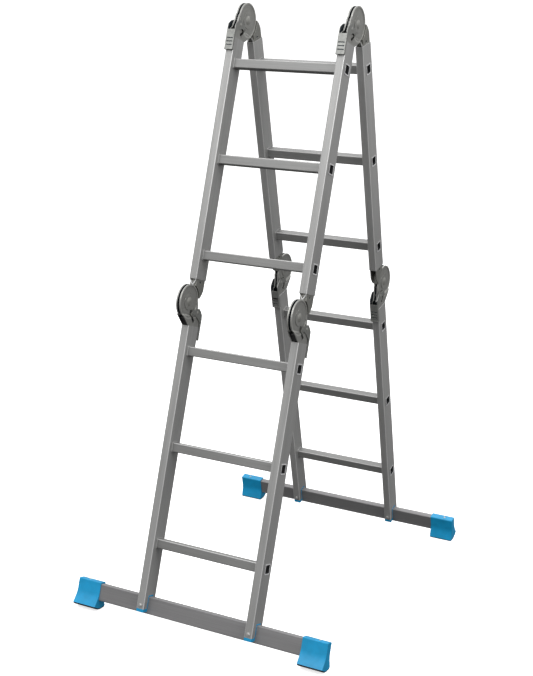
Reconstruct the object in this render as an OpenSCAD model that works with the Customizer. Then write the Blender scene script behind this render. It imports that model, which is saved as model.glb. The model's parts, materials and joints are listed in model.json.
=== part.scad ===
// Multi position ladder: four hinged sections of three rungs, standing as a stepladder.
// Each half leans from the top hinges at z = pivot_h; the front half stands at -Y, the back at +Y.
// In a section, s runs down the stile from the top pivot line and o runs outward from the stile.
// At a hinge, u runs from the pivot along the stile and v runs from the stile past the pivot.

/* [Sections] */
// Distance from one rung to the next
rung_pitch = 280; // [270:1:300]
// Width over the two stiles of a section
ladder_w = 374; // [340:1:450]
// Angle between the front and the back half as the ladder stands
spread = 32.2; // [28:0.1:36]
// Thickness of a stile, across the ladder
stile_t = 24; // [24:1:28]
// Depth of a stile, front to back
stile_d = 60; // [60:1:64]
// Wall of the stile tube
stile_wall = 1.5; // [1.2:0.1:1.5]
// Side of the square rung tube
rung_w = 27; // [24:1:30]

/* [Hinges] */
// Distance of each hinge pivot from the middle plane of the stiles
pivot_off = 40; // [40:1:44]
// Radius of the round hinge plates
plate_r = 50; // [48:0.5:50.5]
// Thickness of one hinge plate
plate_t = 2.5; // [2:0.1:2.5]
// Radius of the big pivot rivet
pivot_r = 8; // [7:0.5:9]
// Width of a release lever
lever_w = 26; // [25.6:0.1:27]

/* [Cross bars and feet] */
// Length over the two feet of a cross bar
bar_l = 808; // [740:1:900]
// Height of the cross bar tube
bar_h = 50; // [46:1:50]
// Thickness of the cross bar tube
bar_t = 20; // [18:1:20]
// Length of a foot along the bar
foot_l = 76; // [65:1:85]
// Radius of the rocker under a foot
rocker_r = 60; // [56:1:64]

/* [Hidden] */
$fn = 64;
HALVES = ["front", "back"];
TIERS = ["upper", "lower"];
SIDES = ["left", "right"];
HINGES = ["top", "front_mid", "back_mid"];

// Sections
lean = spread / 2;
section_l = 3 * rung_pitch;
stile_x = (ladder_w - stile_t) / 2;
stile_gap = 68;
stile_r = 3;
wall_x = stile_t / 2;
wall_o = stile_d / 2;
rung_wall = 1.6;
rung_rim = 2;
rim_t = 1.5;
fit = 0.1;

// Hinges, measured from each hinge's pivot
plate_in = 3.2;
plate_out = plate_in + plate_t;
emboss = 1.5;
rim_w = 4;
plate_bend = 37;
plate_spread = 42;
plug_out = wall_x - stile_wall - fit;
plug_l = 120;
disc_r = 35;
notch_r = 4.4;
notch_at = 32;
tang_in = 0.05;
tang_out = plate_in - 0.2;
lock_folds = [0, 74, 180 - spread, 180];
lock_angle = -38.8;
tang_bend = 53;
tang_spread = 64;
tang_wide_r = 52;
tang_step_v = -18.5;
dimple = 1.6;
neck_at = [stile_gap, wall_o - pivot_off];
neck_turn = acos(plate_r / norm(neck_at)) + atan2(neck_at[1], neck_at[0]);
lever_at = [28, -48];
lever_rivet_r = 3;
slot_arc = 28;
slot_r = 4.5;
slot_from = 25;
slot_to = 95;
pin_turn = 76;
pin_at = lever_at + slot_arc * [cos(pin_turn), sin(pin_turn)];
pin_r = 4;
cheek_t = 1.8;
cheek_out = lever_w / 2;
cheek_in = cheek_out - cheek_t;
lever_l = 107;
stile_face = -pivot_off - wall_o;
stop_at = [3, -47];
stop_r = 5;
spring_wire = 1;

// Cross bars and feet
bar_s = 6 * rung_pitch + 41;
bar_o = -2;
bar_wall = 2;
slot_wall = 3.5;
shoe_top = bar_s - bar_h / 2 - slot_wall;
stile_end = 6 * rung_pitch + 51;
lip_t = 9;
bolt_r = 3;
foot_wall = 4;
foot_half = bar_t / 2 + 2.5;
foot_top = bar_s - bar_h / 2 - foot_wall;
waist_s = bar_s + 5;
flare_half = 27;
rocker_s = 6 * rung_pitch + 33;
sole_t = 3.5;
sole_edge = 3;
flare_s = rocker_s + sqrt(rocker_r * rocker_r - flare_half * flare_half) - sole_edge;
facet = 0.5;
screw_x = bar_l / 2 - 30;
screw_r = 1.75;
pivot_h = rocker_s * cos(lean) - (pivot_off + bar_o) * sin(lean) + rocker_r - facet;

// Placing

function sign_of(side) = side == "left" ? -1 : 1;

function rung_s(tier, n) = rung_pitch * (n - 0.5 + (tier == "upper" ? 0 : 3));

module half(h) {
    mirror([0, h == "back" ? 1 : 0, 0])
        translate([0, 0, pivot_h])
            rotate([-lean, 0, 0]) children();
}

// A hinge's own frame: y is v and z is -u
module hinge(k) {
    if (k == "top") half("front") children();
    if (k == "front_mid") half("front") mid() children();
    if (k == "back_mid") half("back") mid() children();
}

module mid() {
    translate([0, -2 * pivot_off, -section_l]) mirror([0, 1, 0]) children();
}

// The tang of the top hinge lies along the back half
module tang_side(k) {
    if (k == "top") half("back") mirror([0, 0, 1]) children();
    else hinge(k) children();
}

module at_sides() {
    for (x = [-stile_x, stile_x]) translate([x, 0, 0]) children();
}

module at_side(side) {
    translate([sign_of(side) * stile_x, 0, 0]) children();
}

// Extrudes a drawing in y and z along x
module across(x0, x1) {
    translate([x0, 0, 0]) rotate([90, 0, 90]) linear_extrude(x1 - x0) children();
}

// Extrudes a drawing in u and v along x
module across_uv(x0, x1) {
    across(x0, x1) rotate(-90) children();
}

// Extrudes a drawing in x and u along v
module along_v(v0, v1) {
    translate([0, v1, 0]) rotate([90, 0, 0]) linear_extrude(v1 - v0) mirror([0, 1]) children();
}

module both_faces() {
    children();
    mirror([1, 0, 0]) children();
}

module at_so(s, o) {
    translate([0, -pivot_off - o, -s]) children();
}

// A round bar along x at a point in u and v
module round_x(at, r, x0, x1) {
    translate([x0, at[1], -at[0]]) rotate([0, 90, 0]) cylinder(r = r, h = x1 - x0);
}

// A domed rivet head on the face at x, at a point in u and v
module head_x(at, r, x, h) {
    ball_r = (r * r + h * h) / (2 * h);
    translate([x, at[1], -at[0]]) rotate([0, 90, 0]) rotate_extrude() intersection() {
        translate([0, h - ball_r]) circle(ball_r, $fn = 128);
        square([r, h]);
    }
}

// Shared outlines

module rounded(w, h, r) {
    square([w - 2 * r, h], center = true);
    square([w, h - 2 * r], center = true);
    for (x = [-1, 1], y = [-1, 1]) translate([x * (w / 2 - r), y * (h / 2 - r)]) circle(r);
}

module ring_2d(w, h, r, wall) {
    difference() {
        rounded(w, h, r);
        rounded(w - 2 * wall, h - 2 * wall, r - wall / 2);
    }
}

// A bent sheet in x and u: flat between the plates, spread out where it enters the stile
module bent_sheet(x_flat, x_plug, t, u_from, u_bend, u_plug) {
    polygon([
        [x_flat, u_from], [x_flat + t, u_from], [x_flat + t, u_bend],
        [x_plug + t, u_plug], [x_plug + t, plug_l], [x_plug, plug_l],
        [x_plug, u_plug + 1], [x_flat, u_bend + 1]
    ]);
}

// Stiles and rungs

module stile_tube(tier, s0, s1) {
    hole = rung_w + 2 * fit;
    difference() {
        at_so(s1, 0) linear_extrude(s1 - s0) ring_2d(stile_t, stile_d, stile_r, stile_wall);
        for (n = [1:3]) at_so(rung_s(tier, n), 0) across(-stile_t, stile_t) rounded(hole, hole, 3);
    }
}

module lower_stile() {
    slot_w = bar_t + 2 * slot_wall;
    difference() {
        stile_tube("lower", section_l + stile_gap, stile_end);
        at_so(bar_s + bar_h, bar_o) translate([-stile_t, -slot_w / 2, 0])
            cube([2 * stile_t, slot_w, bar_s + bar_h - shoe_top]);
        bolt_hole();
    }
}

module bolt_hole() {
    at_so(bar_s, 0) rotate([90, 0, 0]) cylinder(r = bolt_r + fit, h = 2 * stile_d, center = true);
}

module stile(h, tier, side) {
    color([0.66, 0.67, 0.68]) half(h) at_side(side) {
        if (tier == "upper") stile_tube("upper", stile_gap, section_l - stile_gap);
        else lower_stile();
    }
}

module rung(h, tier, n) {
    x_out = ladder_w / 2 + rim_t;
    x_in = ladder_w / 2 - stile_t;
    collar_w = rung_w + 2 * rung_rim;
    color([0.72, 0.73, 0.74]) half(h) at_so(rung_s(tier, n), 0) {
        across(-x_out, x_out) ring_2d(rung_w, rung_w, 3, rung_wall);
        both_faces() {
            across(x_out - rim_t, x_out) ring_2d(collar_w, collar_w, 4, rung_rim + rung_wall / 2);
            across(x_in - 2 * rim_t, x_in) ring_2d(collar_w, collar_w, 4, rung_rim + rung_wall / 2);
        }
    }
}

// Hinge plates

// The round head, the neck down to the stile and the plug inside it
module plate_outline() {
    circle(plate_r);
    polygon([
        plate_r * [cos(neck_turn), sin(neck_turn)], neck_at,
        [stile_gap, stile_face + 2], [44, stile_face + 2], [28, -61], [13, -56], [0, -53.5],
        [-8, -49], [0, 0]
    ]);
    translate([stile_gap - 1, stile_face + 3]) square([plug_l - stile_gap + 1, stile_d - 6]);
}

// The raised rim round the head and down the edge by the lever, as far as the bend
module rim_outline() {
    intersection() {
        union() {
            difference() {
                circle(plate_r);
                circle(plate_r - rim_w);
            }
            polygon([
                [-8, -49], [0, -53.5], [13, -56], [28, -61], [38, -65.5],
                [38, -61], [28, -56.5], [13, -51.5], [0, -49], [-6, -47]
            ]);
        }
        translate([-2 * plate_r, -2 * plate_r]) square([2 * plate_r + plate_bend - 0.5, 4 * plate_r]);
    }
}

// The curved slot that the lock pin slides in
module slot_outline() {
    translate(lever_at) {
        for (a = [slot_from, slot_to]) translate(slot_arc * [cos(a), sin(a)]) circle(slot_r);
        intersection() {
            difference() {
                circle(slot_arc + slot_r);
                circle(slot_arc - slot_r);
            }
            polygon([
                [0, 0], 60 * [cos(slot_from), sin(slot_from)],
                60 * [cos(slot_to), sin(slot_to)]
            ]);
        }
    }
}

module plate() {
    difference() {
        union() {
            intersection() {
                across_uv(0, wall_x) plate_outline();
                along_v(-2 * stile_d, 2 * stile_d) bent_sheet(
                    plate_in, plug_out - plate_t, plate_t, -stile_d, plate_bend, plate_spread);
            }
            across_uv(plate_out - 0.5, plate_out + emboss) rim_outline();
            round_x([0, 0], 24, plate_out - 0.5, plate_out + emboss);
        }
        across_uv(0, wall_x) slot_outline();
        round_x([0, 0], pivot_r, 0, wall_x);
        round_x(lever_at, lever_rivet_r, 0, wall_x);
        round_x(stop_at, 2, 0, wall_x);
        round_x([59, -31], 2, 0, wall_x);
    }
}

module hinge_plates(k, side) {
    color([0.47, 0.47, 0.45]) hinge(k) at_side(side) both_faces() plate();
}

// Tangs: two sheets to a side, drawn along the stile that they plug into, so u is negative there

module tang_outline() {
    polygon([
        [-stile_gap, -12.5], [-56, -14.5], [-15, -15], [0, -30],
        [-12, -49], [-24, -58.5], [-38, -65.5], [-stile_gap, -66]
    ]);
    translate([-plug_l, stile_face + 3]) square([plug_l - stile_gap + 1, stile_d - 6]);
}

// The part that passes between the plates: a notched disc and its neck
module tang_disc() {
    intersection() {
        union() {
            circle(disc_r);
            tang_outline();
        }
        circle(tang_wide_r + tang_out - tang_in);
    }
}

module lock_notches() {
    for (fold = lock_folds) rotate(lock_angle + fold) {
        translate([notch_at, 0]) circle(notch_r);
        translate([notch_at, -notch_r]) square([2 * notch_r, 2 * notch_r]);
    }
}

// The part outside the sweep of the plates, as wide as the plug
module tang_side_outline() {
    difference() {
        tang_outline();
        circle(tang_wide_r);
        translate([-stile_gap - 1, tang_step_v]) square(stile_gap);
    }
}

// The steps from the disc out to the wide part
module tang_step_outline(t) {
    intersection() {
        tang_side_outline();
        union() {
            circle(tang_wide_r + t);
            translate([-stile_gap, tang_step_v - t]) square([stile_gap, t]);
        }
    }
}

module tang() {
    t = tang_out - tang_in;
    difference() {
        union() {
            across_uv(tang_in, tang_out) difference() {
                tang_disc();
                lock_notches();
            }
            across_uv(plug_out - t, plug_out) tang_side_outline();
            across_uv(tang_in, plug_out) tang_step_outline(t);
            intersection() {
                across_uv(0, wall_x) tang_outline();
                along_v(tang_step_v - t / 2, 0)
                    mirror([0, 1]) bent_sheet(tang_in, plug_out - t, t, 45, tang_bend, tang_spread);
            }
        }
        round_x([0, 0], pivot_r + fit / 2, 0, wall_x);
        round_x([-60, -pivot_off], 4, plug_out - dimple, wall_x);
    }
}

module hinge_tangs(k) {
    color([0.45, 0.45, 0.43]) tang_side(k) at_sides() both_faces() tang();
}

// Levers, lock pins and what sits between the plates

module cheek_outline() {
    translate(lever_at) circle(9);
    translate(pin_at) circle(6);
    polygon([
        [17, -47], [22, -24], [29, -16], [38, -17], [40.5, -23], [35, -34], [42, -50],
        [50, -63], [56, stile_face - 0.5], [lever_l, stile_face - 0.5],
        [lever_l, stile_face - 8], [44, stile_face - 8], [32, stile_face - 6.5],
        [22, -67], [14, -54]
    ]);
}

module lever_web() {
    grip_w = 3;
    difference() {
        along_v(stile_face - 8, stile_face - 5.5)
            translate([-cheek_out, 48]) square([lever_w, lever_l - 48]);
        for (u = [72, 82, 92]) along_v(stile_face - 9, stile_face - 6.8)
            translate([-cheek_out + 3, u]) square([lever_w - 6, grip_w]);
    }
    along_v(stile_face - 9, stile_face - 1)
        translate([-cheek_out, lever_l - 3]) square([lever_w, 3]);
}

module lever(k, side) {
    color([0.5, 0.5, 0.48]) hinge(k) at_side(side) {
        difference() {
            both_faces() across_uv(cheek_in, cheek_out) cheek_outline();
            round_x(lever_at, lever_rivet_r + fit / 2, -stile_t, stile_t);
            round_x(pin_at, pin_r, -stile_t, stile_t);
        }
        lever_web();
    }
}

module lock_pin(k, side) {
    color([0.6, 0.6, 0.58]) hinge(k) at_side(side) round_x(pin_at, pin_r, -cheek_out, cheek_out);
}

module hinge_rivets(k) {
    boss = plate_out + emboss;
    color([0.62, 0.62, 0.6]) hinge(k) at_sides() {
        round_x([0, 0], pivot_r, -boss, boss);
        round_x(lever_at, lever_rivet_r, -cheek_out, cheek_out);
        both_faces() {
            head_x([0, 0], 13, boss, 3);
            head_x(lever_at, 5.5, cheek_out, 1.4);
        }
    }
}

// A stop roller by the pivot and a block that fills the gap beside the stile
module hinge_spacers(k) {
    gap = plate_in - fit;
    wide = plug_out - plate_t - fit;
    color([0.06, 0.06, 0.06]) hinge(k) at_sides() {
        round_x(stop_at, stop_r, -gap, gap);
        round_x(stop_at, 2, -plate_out, plate_out);
        intersection() {
            across_uv(-wall_x, wall_x)
                polygon([
                    [50, -25], [50, -9], [43.5, -4], [43.5, 10], [50, 12],
                    [stile_gap - 0.5, -10.5], [stile_gap - 0.5, -25]
                ]);
            along_v(-stile_d, stile_d) polygon([
                [-gap, 36], [gap, 36], [gap, plate_bend + 2], [wide, plate_spread + 2],
                [wide, stile_gap], [-wide, stile_gap], [-wide, plate_spread + 2], [-gap, plate_bend + 2]
            ]);
        }
    }
}

// A close coil round the lever rivet, with one leg that leads to the stop roller
module hinge_springs(k) {
    coil_r = lever_rivet_r + 0.1 + spring_wire / 2;
    turns = 5;
    color([0.75, 0.75, 0.75]) hinge(k) at_sides() translate([0, lever_at[1], -lever_at[0]]) {
        rotate([0, 90, 0]) rotate_extrude() for (n = [0:turns - 1])
            translate([coil_r, (n - (turns - 1) / 2) * 0.95]) circle(d = spring_wire, $fn = 24);
        translate([0, -coil_r, 0]) cylinder(d = spring_wire, h = 22, $fn = 24);
    }
}

// Cross bars and feet

module bar(h) {
    color([0.66, 0.67, 0.68]) half(h) difference() {
        at_so(bar_s, bar_o) across(foot_wall - bar_l / 2, bar_l / 2 - foot_wall)
            ring_2d(bar_t, bar_h, 3, bar_wall);
        at_sides() bolt_hole();
        screw_holes();
    }
}

module screw_holes() {
    for (x = [-screw_x, screw_x]) translate([x, 0, 0])
        at_so(bar_s, bar_o) cylinder(r = screw_r, h = bar_h);
}

// A saddle inside the stile end, with a lip that closes the end round the bar
module shoe() {
    inner_t = stile_t - 2 * stile_wall - 2 * fit;
    inner_d = stile_d - 2 * stile_wall - 2 * fit;
    liner_d = bar_t + 2 * slot_wall - 2 * fit;
    difference() {
        union() {
            at_so(stile_end, 0) linear_extrude(stile_end - shoe_top) rounded(inner_t, inner_d, 2.5);
            at_so(stile_end + lip_t, 0) linear_extrude(lip_t) rounded(stile_t, stile_d, stile_r);
            at_so(stile_end, bar_o) translate([-wall_x, -liner_d / 2, 0])
                cube([stile_t, liner_d, stile_end - shoe_top - fit]);
        }
        at_so(bar_s + bar_h, bar_o) translate([-stile_t, -bar_t / 2 - fit, 0])
            cube([2 * stile_t, bar_t + 2 * fit, 1.5 * bar_h + fit]);
        bolt_hole();
    }
}

module shoes(h) {
    color([0.08, 0.55, 0.78]) half(h) at_sides() shoe();
}

// Outline of a foot: straight sides down to a waist, then a flare down to the rocker
module foot_outline() {
    edge = foot_half - 3;
    for (y = [-edge, edge]) translate([y, -foot_top - 3]) circle(3);
    polygon([
        [-foot_half, -foot_top - 3], [-edge, -foot_top], [edge, -foot_top],
        [foot_half, -foot_top - 3], [foot_half, -waist_s], [15.5, -waist_s - 13],
        [21, -waist_s - 25], [flare_half, -flare_s], [-flare_half, -flare_s],
        [-21, -waist_s - 25], [-15.5, -waist_s - 13], [-foot_half, -waist_s]
    ]);
    rocker_2d(rocker_r - sole_t);
}

// The part of a circle about the rocker's centre that lies below the flare
module rocker_2d(r) {
    intersection() {
        translate([0, -rocker_s]) circle(r, $fn = 128);
        translate([-flare_half, -flare_s - 20]) square([2 * flare_half, 20]);
    }
}

module at_feet(inset) {
    both_faces() at_so(0, bar_o)
        across(bar_l / 2 - foot_l + inset, bar_l / 2 - inset) children();
}

module below_floor() {
    translate([-bar_l, -2 * section_l, -rocker_r]) cube([2 * bar_l, 4 * section_l, rocker_r]);
}

module feet(h) {
    cavity_x = bar_l / 2 - foot_wall + fit;
    color([0.12, 0.6, 0.82]) half(h) difference() {
        at_feet(0) foot_outline();
        at_so(bar_s, bar_o)
            across(-cavity_x, cavity_x) rounded(bar_t + 2 * fit, bar_h + 2 * fit, 3);
        screw_holes();
    }
}

module soles(h) {
    color([0.05, 0.05, 0.05]) difference() {
        half(h) at_feet(1) difference() {
            rocker_2d(rocker_r);
            translate([0, -rocker_s]) circle(rocker_r - sole_t, $fn = 128);
        }
        below_floor();
    }
}

// Bolts and nuts through the stile ends, and the small screws on top of the feet
module bolts(h) {
    nut_t = 5;
    color([0.7, 0.7, 0.7]) half(h) {
        at_sides() {
            at_so(bar_s, -wall_o - nut_t - 1)
                rotate([90, 0, 0]) cylinder(r = bolt_r, h = stile_d + nut_t + 1);
            at_so(bar_s, wall_o) rotate([90, 0, 0]) {
                cylinder(r = 6.5, h = 1.2);
                cylinder(r1 = 5.5, r2 = 3.5, h = 3);
            }
            at_so(bar_s, -wall_o) rotate([-90, 0, 0]) difference() {
                cylinder(r = 5.8, h = nut_t, $fn = 6);
                cylinder(r = bolt_r + fit, h = 3 * nut_t, center = true);
            }
        }
        for (x = [-screw_x, screw_x]) translate([x, 0, -foot_top]) at_so(0, bar_o) {
            translate([0, 0, -foot_wall - bar_wall - 3]) cylinder(r = screw_r, h = 9);
            cylinder(r1 = 3.6, r2 = 2.6, h = 1.8);
        }
    }
}

for (h = HALVES, t = TIERS, s = SIDES)
    stile(h, t, s);
for (h = HALVES, t = TIERS, n = [1:3])
    rung(h, t, n);
for (k = HINGES, s = SIDES) {
    hinge_plates(k, s);
    lever(k, s);
    lock_pin(k, s);
}
for (k = HINGES) {
    hinge_tangs(k);
    hinge_rivets(k);
    hinge_spacers(k);
    hinge_springs(k);
}
for (h = HALVES) {
    bar(h);
    shoes(h);
    feet(h);
    soles(h);
    bolts(h);
}
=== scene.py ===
"""Looks of a multi position ladder: aluminium sections, pressed steel hinges and blue end feet."""
import json
from math import atan2, cos, hypot, pi, radians, sin

import bmesh
import bpy
from mathutils import Matrix, Vector


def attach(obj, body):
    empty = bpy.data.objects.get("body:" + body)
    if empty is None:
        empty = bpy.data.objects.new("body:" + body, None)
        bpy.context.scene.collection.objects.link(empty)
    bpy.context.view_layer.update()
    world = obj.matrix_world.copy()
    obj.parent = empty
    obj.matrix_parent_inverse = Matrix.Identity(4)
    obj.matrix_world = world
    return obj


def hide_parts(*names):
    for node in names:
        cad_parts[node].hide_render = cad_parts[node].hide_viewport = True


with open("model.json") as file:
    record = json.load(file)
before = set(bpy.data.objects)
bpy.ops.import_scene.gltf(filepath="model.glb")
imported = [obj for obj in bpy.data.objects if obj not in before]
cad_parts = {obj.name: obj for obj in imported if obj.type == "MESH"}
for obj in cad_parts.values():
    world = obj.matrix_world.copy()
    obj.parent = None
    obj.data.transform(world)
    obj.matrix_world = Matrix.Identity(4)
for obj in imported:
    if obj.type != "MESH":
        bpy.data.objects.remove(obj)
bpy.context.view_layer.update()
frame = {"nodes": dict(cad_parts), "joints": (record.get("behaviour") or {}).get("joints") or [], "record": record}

# ---------------------------------------------------------------- driving sizes, in metres

# A section is three rung pitches long; its hinges' pivots stand off the stiles' middle plane
SECTION = 0.84
PIVOT_OFF = 0.04
JOINT_AT = {joint["name"]: Vector(joint["pos_m"]) for joint in frame["joints"]}
TOP = JOINT_AT["top_hinge"]
FRONT_MID = JOINT_AT["front_mid_hinge"] - TOP
# Half of the spread: the front half leans its feet to -Y, the back half to +Y
LEAN = atan2(-FRONT_MID.y, -FRONT_MID.z) - atan2(2 * PIVOT_OFF, SECTION)
HINGES = ("top", "front_mid", "back_mid")
PIVOTS = {hinge: JOINT_AT[hinge + "_hinge"] for hinge in HINGES}
BODY_OF = {n: b for b, nodes in frame["record"]["behaviour"]["bodies"].items() for n in nodes}


def srgb(r, g, b):
    """A linear colour from 0 to 255 display values."""
    return [((c / 255 + 0.055) / 1.055) ** 2.4 if c > 10 else c / 255 / 12.92 for c in (r, g, b)]


# ---------------------------------------------------------------- materials

LIGHTER = 1.1
# The axis that the die lines of an extrusion run along
X_WAY, Z_WAY = 0, 2


def shades(tone, darker=0.88):
    """A darker and a lighter shade of a colour."""
    return [darker * c for c in tone], [min(1.0, LIGHTER * c) for c in tone]


class Nodes:
    """A small builder for a material's node tree. A one-number colour is a grey."""

    def __init__(self, name):
        self.material = bpy.data.materials.new(name)
        self.material.use_nodes = True
        self.tree = self.material.node_tree
        self.shader = self.tree.nodes["Principled BSDF"]

    def add(self, kind, **values):
        node = self.tree.nodes.new(kind)
        for key, value in values.items():
            if hasattr(node, key):
                setattr(node, key, value)
            else:
                node.inputs[key.replace("_", " ")].default_value = value
        return node

    def link(self, out, into):
        self.tree.links.new(out, into)

    def coordinates(self, turn=0.0, stretch=(1, 1, 1)):
        """Object coordinates turned about X, then stretched."""
        place = self.add("ShaderNodeTexCoord")
        turned = self.add("ShaderNodeMapping", vector_type="TEXTURE")
        turned.inputs["Rotation"].default_value = (turn, 0, 0)
        self.link(place.outputs["Object"], turned.inputs["Vector"])
        scaled = self.add("ShaderNodeMapping")
        scaled.inputs["Scale"].default_value = stretch
        self.link(turned.outputs["Vector"], scaled.inputs["Vector"])
        return scaled.outputs["Vector"]

    def radius(self, centre, span):
        """The distance from a line along X, as a share of the span."""
        place = self.add("ShaderNodeTexCoord")
        offset = self.add("ShaderNodeVectorMath", operation="SUBTRACT")
        flat = self.add("ShaderNodeVectorMath", operation="MULTIPLY")
        length = self.add("ShaderNodeVectorMath", operation="LENGTH")
        share = self.add("ShaderNodeMapRange", From_Max=span)
        offset.inputs[1].default_value = centre
        flat.inputs[1].default_value = (0, 1, 1)
        self.link(place.outputs["Object"], offset.inputs[0])
        self.link(offset.outputs["Vector"], flat.inputs[0])
        self.link(flat.outputs["Vector"], length.inputs[0])
        self.link(length.outputs["Value"], share.inputs["Value"])
        return share.outputs["Result"]

    def noise(self, vector, scale, detail, roughness=0.55):
        node = self.add("ShaderNodeTexNoise")
        node.inputs["Scale"].default_value = scale
        node.inputs["Detail"].default_value = detail
        node.inputs["Roughness"].default_value = roughness
        self.link(vector, node.inputs["Vector"])
        return node.outputs["Fac"]

    def ramp(self, factor, stops):
        node = self.add("ShaderNodeValToRGB")
        elements = node.color_ramp.elements
        while len(elements) < len(stops):
            elements.new(0.5)
        for element, (at, colour) in zip(elements, stops):
            element.position = at
            element.color = (*colour, 1) if len(colour) == 3 else (colour[0],) * 3 + (1,)
        self.link(factor, node.inputs["Fac"])
        return node.outputs["Color"]

    def bump(self, height, strength, distance, normal=None):
        node = self.add("ShaderNodeBump")
        node.inputs["Strength"].default_value = strength
        node.inputs["Distance"].default_value = distance
        self.link(height, node.inputs["Height"])
        if normal is not None:
            self.link(normal, node.inputs["Normal"])
        return node.outputs["Normal"]

    def finish(self, colour=None, rough=None, normal=None, **fixed):
        for socket, value in (("Base Color", colour), ("Roughness", rough), ("Normal", normal)):
            if value is not None:
                self.link(value, self.shader.inputs[socket])
        for key, value in fixed.items():
            self.shader.inputs[key.replace("_", " ")].default_value = value
        return self.material


def multiplied(nodes, factor, first, second):
    """The first colour darkened or lightened by the second."""
    node = nodes.add("ShaderNodeMix", data_type="RGBA", blend_type="MULTIPLY")
    node.inputs["Factor"].default_value = factor
    nodes.link(first, node.inputs["A"])
    nodes.link(second, node.inputs["B"])
    return node.outputs["Result"]


def aluminium(name, tone, turn, along, rough=0.5, metal=0.45):
    """Mill-finish extrusion: die lines along one axis and slow cloudiness."""
    n = Nodes(name)
    fine = [450, 450, 450]
    fine[along] = 4
    cloud = [6, 6, 6]
    cloud[along] = 1.5
    lines = n.noise(n.coordinates(turn, fine), 1.0, 3.0)
    patches = n.noise(n.coordinates(turn, cloud), 1.0, 5.0)
    dark, light = shades(tone, 0.86)
    colour = n.ramp(patches, [(0.3, dark), (0.5, tone), (0.72, light)])
    streaks = n.ramp(lines, [(0.3, (0.8,)), (0.7, (1.08,))])
    colour = multiplied(n, 0.6, colour, streaks)
    roughness = n.ramp(patches, [(0.25, (rough - 0.07,)), (0.75, (rough + 0.1,))])
    normal = n.bump(lines, 0.12, 0.0004)
    return n.finish(colour, roughness, normal, Metallic=metal, Anisotropic=0.3)


# Greys of a round plate by its radius, as shares of the span: two faint rings of painted shade and a pale rim of
# painted highlight
PLATE_SPAN = 0.06
PLATE_PAINTED_SHADING = (
    (0.39, 0.7), (0.41, 0.56), (0.43, 0.7), (0.6, 0.7), (0.62, 0.6), (0.64, 0.7),
    (0.75, 0.62), (0.77, 1.0), (0.82, 1.0), (0.86, 0.7),
)


def pressed_steel(name, tone, rough=0.45, pivot=None):
    """Dull zinc plating over pressed sheet: soft mottling and pits, and rings of painted shade and a rim of
    painted highlight round a pivot.
    """
    n = Nodes(name)
    at = n.coordinates()
    mottle = n.noise(at, 60.0, 6.0, 0.65)
    pits = n.noise(at, 700.0, 2.0)
    dark, light = shades(tone)
    colour = n.ramp(mottle, [(0.3, dark), (0.52, tone), (0.75, light)])
    roughness = n.ramp(mottle, [(0.3, (rough + 0.08,)), (0.7, (rough - 0.05,))])
    normal = n.bump(pits, 0.12, 0.0003, n.bump(mottle, 0.06, 0.0006))
    if pivot is not None:
        # Painted shade rings and a painted highlight rim round the pivot
        rings = [(share, (grey,)) for share, grey in PLATE_PAINTED_SHADING]
        colour = multiplied(n, 1.0, colour, n.ramp(n.radius(pivot, PLATE_SPAN), rings))
    return n.finish(colour, roughness, normal, Metallic=0.6)


def plastic(name, tone, rough, grain=1400.0):
    """Moulded plastic: fine spark-eroded grain and a slight cloudiness of the colour."""
    n = Nodes(name)
    at = n.coordinates()
    clouds = n.noise(at, 25.0, 3.0)
    specks = n.noise(at, grain, 2.0)
    dark, light = shades(tone)
    colour = n.ramp(clouds, [(0.3, dark), (0.5, tone), (0.7, light)])
    roughness = n.ramp(specks, [(0.3, (rough - 0.06,)), (0.7, (rough + 0.06,))])
    normal = n.bump(specks, 0.12, 0.0003)
    return n.finish(colour, roughness, normal)


STILE_TONE = srgb(172, 172, 171)
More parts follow.
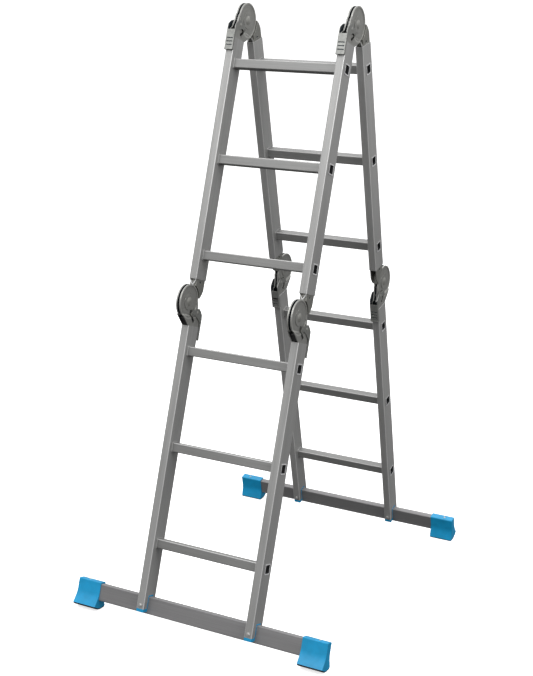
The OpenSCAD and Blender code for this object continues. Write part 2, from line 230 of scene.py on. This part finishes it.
# The pale tone of the stiles' corners: a painted highlight
STILE_HIGHLIGHT_TONE = srgb(228, 228, 227)
MATERIALS = {
    "stile_front": aluminium("stile_aluminium_front", STILE_TONE, -LEAN, Z_WAY),
    "stile_back": aluminium("stile_aluminium_back", STILE_TONE, LEAN, Z_WAY),
    "rung": aluminium("rung_aluminium", srgb(147, 147, 146), 0.0, X_WAY),
    # A rung's upper corners and collars in a pale tone: a painted highlight
    "highlight_rung": aluminium("highlight_aluminium_rung", srgb(196, 196, 195), 0.0, X_WAY, 0.4),
    "bar": aluminium("bar_aluminium", srgb(146, 145, 146), 0.0, X_WAY),
    # A pale tone for the sheets' bevels: edge wear and a painted highlight
    "wear_and_highlight": pressed_steel("wear_and_highlight_steel", srgb(205, 205, 200), 0.38),
    # A dark tone for gaps between sheets, grip grooves and dimples: painted shade
    "painted_shade": pressed_steel("painted_shade_steel", srgb(52, 60, 66), 0.6),
    "tang": pressed_steel("tang_steel", srgb(140, 140, 135)),
    "lever": pressed_steel("lever_steel", srgb(142, 143, 140), 0.4),
    "pin": pressed_steel("pin_steel", srgb(120, 120, 116), 0.35),
    "rivet": pressed_steel("rivet_steel", srgb(165, 165, 160), 0.35),
    "spring": pressed_steel("spring_steel", srgb(180, 180, 180), 0.3),
    "bolt": pressed_steel("bolt_steel", srgb(190, 190, 188), 0.3),
    # The insides of the tubes, darkened: painted shade
    "inside": aluminium("painted_shade_inside", srgb(62, 63, 65), 0.0, X_WAY, 0.7),
    # A pale tone for cut ends and sheet edges: a painted highlight
    "edge_highlight": aluminium("edge_highlight_aluminium", srgb(214, 214, 215), 0.0, X_WAY, metal=0.1),
    # The stiles' corners in a pale tone: a painted highlight
    "highlight_front": aluminium("highlight_aluminium_front", STILE_HIGHLIGHT_TONE, -LEAN, Z_WAY, 0.4),
    "highlight_back": aluminium("highlight_aluminium_back", STILE_HIGHLIGHT_TONE, LEAN, Z_WAY, 0.4),
    "black": plastic("black_plastic", srgb(28, 28, 29), 0.5),
    "rubber": plastic("sole_rubber", srgb(22, 22, 23), 0.75, 600.0),
    "blue": plastic("blue_plastic", srgb(8, 155, 208), 0.42),
}
for hinge, pivot in PIVOTS.items():
    MATERIALS["plate_" + hinge] = pressed_steel(
        "plate_steel_" + hinge, srgb(184, 184, 180), pivot=pivot)


MATERIAL_BY_ENDING = {
    "_bar": "bar", "_tangs": "tang", "_lever": "lever", "_lock_pin": "pin", "_rivets": "rivet",
    "_springs": "spring", "_spacers": "black", "_bolts": "bolt", "_soles": "rubber",
    "_shoes": "blue", "_feet": "blue",
}


def hinge_of(node):
    return next(hinge for hinge in HINGES if node.startswith(hinge))


def material_for(node):
    """The material of a piece's plain faces."""
    if node.endswith("_stile"):
        return MATERIALS["stile_front" if node.startswith("front") else "stile_back"]
    if node.endswith("_plates"):
        return MATERIALS["plate_" + hinge_of(node)]
    for ending, name in MATERIAL_BY_ENDING.items():
        if node.endswith(ending):
            return MATERIALS[name]
    return MATERIALS["rung"]


# ---------------------------------------------------------------- shapes

# Material slots of a tube and of a pressed sheet, after slot 0 for the plain faces
# On a tube: painted shade inside, a painted highlight on the cut ends, a painted highlight on corners and collars
INSIDE, END_HIGHLIGHT, HIGHLIGHT = 1, 2, 3
# On a sheet: pale bevels for edge wear and a painted highlight, painted shade, a painted highlight on sheet edges
WEAR_AND_HIGHLIGHT, SHADED, EDGE_HIGHLIGHT = 1, 2, 3
# How far a face's normal points along an axis: hardly, partly, almost wholly
HARDLY, PARTLY, WHOLLY = 0.1, 0.5, 0.9


def tube_axis(node):
    """The direction of a stile's or a rung's length, at rest."""
    if node.endswith("_stile"):
        lean = LEAN if node.startswith("front") else -LEAN
        return Vector((0, sin(lean), cos(lean)))
    return Vector((1, 0, 0))


# A tube: how near its end the cut face lies, and which normals its rounded corners have
END_REACH = 0.0005
STILE_CORNER_X = (0.35, 0.93)
RUNG_CORNER_Y, RUNG_CORNER_Z = 0.35, 0.45
# Where a rung has its collars, beside the stiles
COLLAR = (0.1595, 0.1632)


def paint_tube(mesh, axis):
    """Painted shade inside, painted highlights on the cut ends, on a stile's corners and on a rung's upper corners
    and collars.
    """
    points = [v.co for v in mesh.vertices]
    low = Vector(min(p[i] for p in points) for i in range(3))
    high = Vector(max(p[i] for p in points) for i in range(3))
    centre = (low + high) / 2
    reach = max((p - centre).dot(axis) for p in points)
    for polygon in mesh.polygons:
        offset = polygon.center - centre
        along = offset.dot(axis)
        facing = abs(polygon.normal.dot(axis))
        # Faces inside a tube: painted shade
        if facing < PARTLY and (offset - along * axis).dot(polygon.normal) < 0:
            polygon.material_index = INSIDE
        # Cut ends: painted highlight
        elif facing > WHOLLY and abs(along) > reach - END_REACH:
            polygon.material_index = END_HIGHLIGHT
        # A stile's corners: painted highlight
        elif facing < HARDLY and axis.x == 0:
            if STILE_CORNER_X[0] < abs(polygon.normal.x) < STILE_CORNER_X[1]:
                polygon.material_index = HIGHLIGHT
        # A rung's collars and upper corners: painted highlight
        elif facing < HARDLY:
            in_collar = COLLAR[0] < abs(along) < COLLAR[1]
            upper = polygon.normal.z > RUNG_CORNER_Z and abs(polygon.normal.y) > RUNG_CORNER_Y
            if in_collar or upper:
                polygon.material_index = HIGHLIGHT


def paint_inner_faces(mesh):
    """Painted shade on faces where two sheets look at each other."""
    middle = sum(polygon.center.x for polygon in mesh.polygons) / len(mesh.polygons)
    for polygon in mesh.polygons:
        if polygon.normal.x * (polygon.center.x - middle) < 0 and abs(polygon.normal.x) > WHOLLY:
            # Inner faces between sheets: painted shade
            polygon.material_index = SHADED


def hinge_axes(hinge, tang):
    """The directions of u and v at a hinge: along the stile, and from the stile past the pivot."""
    if hinge == "top" and tang:
        return Vector((0, -sin(LEAN), cos(LEAN))), Vector((0, -cos(LEAN), -sin(LEAN)))
    side = 1 if hinge == "back_mid" else -1
    flip = 1 if hinge == "top" else -1
    u_way = Vector((0, side * sin(LEAN), -cos(LEAN)))
    return u_way, flip * Vector((0, -side * cos(LEAN), -sin(LEAN)))


# The part of a lever with the grip grooves: its length in u, and their floors and sides in v
GRIP = (0.0715, 0.0955)
GROOVES = (-0.0779, -0.0766)


def paint_grooves(mesh, hinge):
    """Painted shade on the floors and sides of the three grip grooves of a lever."""
    u_way, v_way = hinge_axes(hinge, False)
    for polygon in mesh.polygons:
        offset = polygon.center - PIVOTS[hinge]
        u, v = offset.dot(u_way), offset.dot(v_way)
        if GRIP[0] < u < GRIP[1] and GROOVES[0] < v < GROOVES[1]:
            # Groove floors and sides: painted shade
            polygon.material_index = SHADED


# A tang in u and v: its dimple, and the sheet edges that show beside the end of the stile
DIMPLE = (-0.060, -0.040)
DIMPLE_R = 0.0041
DIMPLE_AREA = 0.000055
SHEET_EDGE = (-0.045, -0.0165)
SHEET_EDGE_FACING = 0.6


def paint_tang(mesh, hinge):
    """Painted shade in the dimples, and a painted highlight on the sheet edges beside the stile's end."""
    u_way, v_way = hinge_axes(hinge, True)
    for polygon in mesh.polygons:
        offset = polygon.center - PIVOTS[hinge]
        u, v = offset.dot(u_way), offset.dot(v_way)
        if hypot(u - DIMPLE[0], v - DIMPLE[1]) < DIMPLE_R and polygon.area < DIMPLE_AREA:
            # The dimple: painted shade
            polygon.material_index = SHADED
        elif u < SHEET_EDGE[0] and v > SHEET_EDGE[1]:
            if polygon.normal.dot(v_way) > SHEET_EDGE_FACING:
                polygon.material_index = EDGE_HIGHLIGHT


# Faces within FLAT of each other are joined, and edges over SHARP are bevelled
BEVEL = 0.0004
SAME_POINT = 1e-6
FLAT = radians(0.5)
SHARP = radians(35)


def refined(node):
    """A copy of a CAD node with its flat faces joined up and its sharp edges softened."""
    mesh = frame["nodes"][node].data.copy()
    bm = bmesh.new()
    bm.from_mesh(mesh)
    bmesh.ops.remove_doubles(bm, verts=bm.verts, dist=SAME_POINT)
    bmesh.ops.dissolve_limit(bm, angle_limit=FLAT, verts=bm.verts, edges=bm.edges)
    bm.to_mesh(mesh)
    bm.free()
    piece = bpy.data.objects.new(node + "_finished", mesh)
    bpy.context.collection.objects.link(piece)
    soften = piece.modifiers.new("edges", "BEVEL")
    soften.width = BEVEL
    soften.segments = 2
    soften.limit_method = "ANGLE"
    soften.angle_limit = SHARP
    soften.miter_outer = "MITER_ARC"
    soften.use_clamp_overlap = True
    flatten = piece.modifiers.new("flat_faces", "WEIGHTED_NORMAL")
    flatten.mode = "FACE_AREA"
    flatten.weight = 100
    # The bevels of the pressed sheets are pale, for edge wear and as a painted highlight, in the material of their
    # second slot
    mesh.materials.clear()
    mesh.materials.append(material_for(node))
    if "_rung_" in node or node.endswith("_stile"):
        part = "rung" if "_rung_" in node else node.split("_")[0]
        # Painted shade inside, and painted highlights on the cut ends, corners and collars
        for name in ("inside", "edge_highlight", "highlight_" + part):
            mesh.materials.append(MATERIALS[name])
        paint_tube(mesh, tube_axis(node))
    elif node.endswith(("_plates", "_tangs", "_lever")):
        # Pale bevels for edge wear and a painted highlight, then painted shade
        for name in ("wear_and_highlight", "painted_shade"):
            mesh.materials.append(MATERIALS[name])
        soften.material = WEAR_AND_HIGHLIGHT
        if node.endswith("_tangs"):
            # A tang's sheet edges beside the stile's end: painted highlight
            mesh.materials.append(MATERIALS["edge_highlight"])
            paint_tang(mesh, hinge_of(node))
        else:
            paint_inner_faces(mesh)
        if node.endswith("_lever"):
            paint_grooves(mesh, hinge_of(node))
    for polygon in mesh.polygons:
        polygon.use_smooth = True
    return piece


for node in frame["nodes"]:
    piece = refined(node)
    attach(piece, BODY_OF[node])
    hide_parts(node)


# ---------------------------------------------------------------- floor, light and camera

FLOOR_FRONT, FLOOR_BACK = -6.0, 3.2
SWEEP_RADIUS = 2.0
SWEEP_STEPS = 12
WALL_TOP = 7.0
FLOOR_SIDE = 9.0


def studio_floor():
    """A pale sweep: flat under the ladder, curving up far behind it."""
    points = [(FLOOR_FRONT, 0.0), (FLOOR_BACK, 0.0)]
    for step in range(1, SWEEP_STEPS + 1):
        angle = step * pi / (2 * SWEEP_STEPS)
        rise = SWEEP_RADIUS * (1 - cos(angle))
        points.append((FLOOR_BACK + SWEEP_RADIUS * sin(angle), rise))
    points.append((FLOOR_BACK + SWEEP_RADIUS, WALL_TOP))
    bm = bmesh.new()
    left, right = ([bm.verts.new((x, y, z)) for y, z in points] for x in (-FLOOR_SIDE, FLOOR_SIDE))
    for i in range(len(points) - 1):
        bm.faces.new((left[i], right[i], right[i + 1], left[i + 1]))
    mesh = bpy.data.meshes.new("studio_sweep")
    bm.to_mesh(mesh)
    bm.free()
    sweep = bpy.data.objects.new("studio_sweep", mesh)
    bpy.context.collection.objects.link(sweep)
    for polygon in mesh.polygons:
        polygon.use_smooth = True
    n = Nodes("studio_paper")
    grain = n.noise(n.coordinates(), 40.0, 3.0)
    tone = n.ramp(grain, [(0.3, srgb(240, 240, 240)), (0.7, srgb(244, 244, 244))])
    n.link(tone, n.shader.inputs["Emission Color"])
    mesh.materials.append(n.finish(tone, Roughness=0.9, Emission_Strength=0.8))
    sweep.visible_diffuse = False
    sweep.visible_glossy = False


def area_light(name, at, target, size, power):
    """A white light of the given width and height, aimed at the target."""
    data = bpy.data.lights.new(name, "AREA")
    data.shape = "RECTANGLE"
    data.size, data.size_y = size
    data.energy = power
    light = bpy.data.objects.new(name, data)
    bpy.context.collection.objects.link(light)
    light.location = at
    aim = Vector(target) - Vector(at)
    light.rotation_euler = aim.to_track_quat("-Z", "Y").to_euler()


# The world's light: its strength, and the share of it at heights from -1, below, to 1, above
WORLD_STRENGTH = 1.1
WORLD_LEVELS = ((-1, 0.05), (-0.3, 0.13), (0, 0.34), (0.1, 0.42), (0.48, 0.75), (1, 1))


def world_light(strength, levels):
    """A soft tent of light, with plain white for the camera to see behind the floor."""
    world = bpy.data.worlds.new("studio")
    bpy.context.scene.world = world
    world.use_nodes = True
    tree = world.node_tree
    place = tree.nodes.new("ShaderNodeTexCoord")
    split = tree.nodes.new("ShaderNodeSeparateXYZ")
    height = tree.nodes.new("ShaderNodeMapRange")
    height.inputs["From Min"].default_value = -1
    ramp = tree.nodes.new("ShaderNodeValToRGB")
    elements = ramp.color_ramp.elements
    while len(elements) < len(levels):
        elements.new(0.5)
    for element, (z, share) in zip(elements, levels):
        element.position = (z + 1) / 2
        element.color = (share, share, share, 1)
    background = tree.nodes["Background"]
    background.inputs["Strength"].default_value = strength
    tree.links.new(place.outputs["Generated"], split.inputs["Vector"])
    tree.links.new(split.outputs["Z"], height.inputs["Value"])
    tree.links.new(height.outputs["Result"], ramp.inputs["Fac"])
    tree.links.new(ramp.outputs["Color"], background.inputs["Color"])
    backdrop = tree.nodes.new("ShaderNodeBackground")
    backdrop.inputs["Color"].default_value = (1, 1, 1, 1)
    rays = tree.nodes.new("ShaderNodeLightPath")
    choice = tree.nodes.new("ShaderNodeMixShader")
    tree.links.new(rays.outputs["Is Camera Ray"], choice.inputs["Fac"])
    tree.links.new(background.outputs["Background"], choice.inputs[1])
    tree.links.new(backdrop.outputs["Background"], choice.inputs[2])
    tree.links.new(choice.outputs["Shader"], tree.nodes["World Output"].inputs["Surface"])


# The camera's place from the middle of the top hinges, and its yaw, pitch and roll in degrees
CAMERA_FROM_TOP = Vector((1.5966, -3.3162, -0.0137))
CAMERA_TURN = (26.04, -14.18, 2.08)
LENS_MM, SENSOR_MM = 66.28, 36
SHIFT = (-0.0212, 0.0048)


def photo_camera():
    """The photograph's standpoint: level with the top hinges, right of centre, looking down."""
    yaw, pitch, roll = (radians(angle) for angle in CAMERA_TURN)
    forward = Vector((-sin(yaw) * cos(pitch), cos(yaw) * cos(pitch), sin(pitch)))
    level = Vector((cos(yaw), sin(yaw), 0))
    up = level.cross(forward)
    right = cos(roll) * level + sin(roll) * up
    top = -sin(roll) * level + cos(roll) * up
    data = bpy.data.cameras.new("photo_camera")
    data.sensor_width = SENSOR_MM
    data.lens = LENS_MM
    data.shift_x, data.shift_y = SHIFT
    camera = bpy.data.objects.new("photo_camera", data)
    bpy.context.collection.objects.link(camera)
    turn = Matrix((right, top, -forward)).transposed().to_4x4()
    camera.matrix_world = Matrix.Translation(TOP + CAMERA_FROM_TOP) @ turn
    bpy.context.scene.camera = camera


studio_floor()
world_light(WORLD_STRENGTH, WORLD_LEVELS)
area_light("key", (-0.6, -2.2, 3.4), (0, 0, 1.4), (2.4, 2.4), 42)
area_light("back", (-0.8, 2.9, 3.2), (0, 0, 1.2), (2.4, 2.4), 26)
area_light("fill", (2.6, -0.6, 2.9), (0, 0, 1.5), (2.0, 2.0), 36)
bpy.context.scene.view_settings.view_transform = "Standard"
photo_camera()
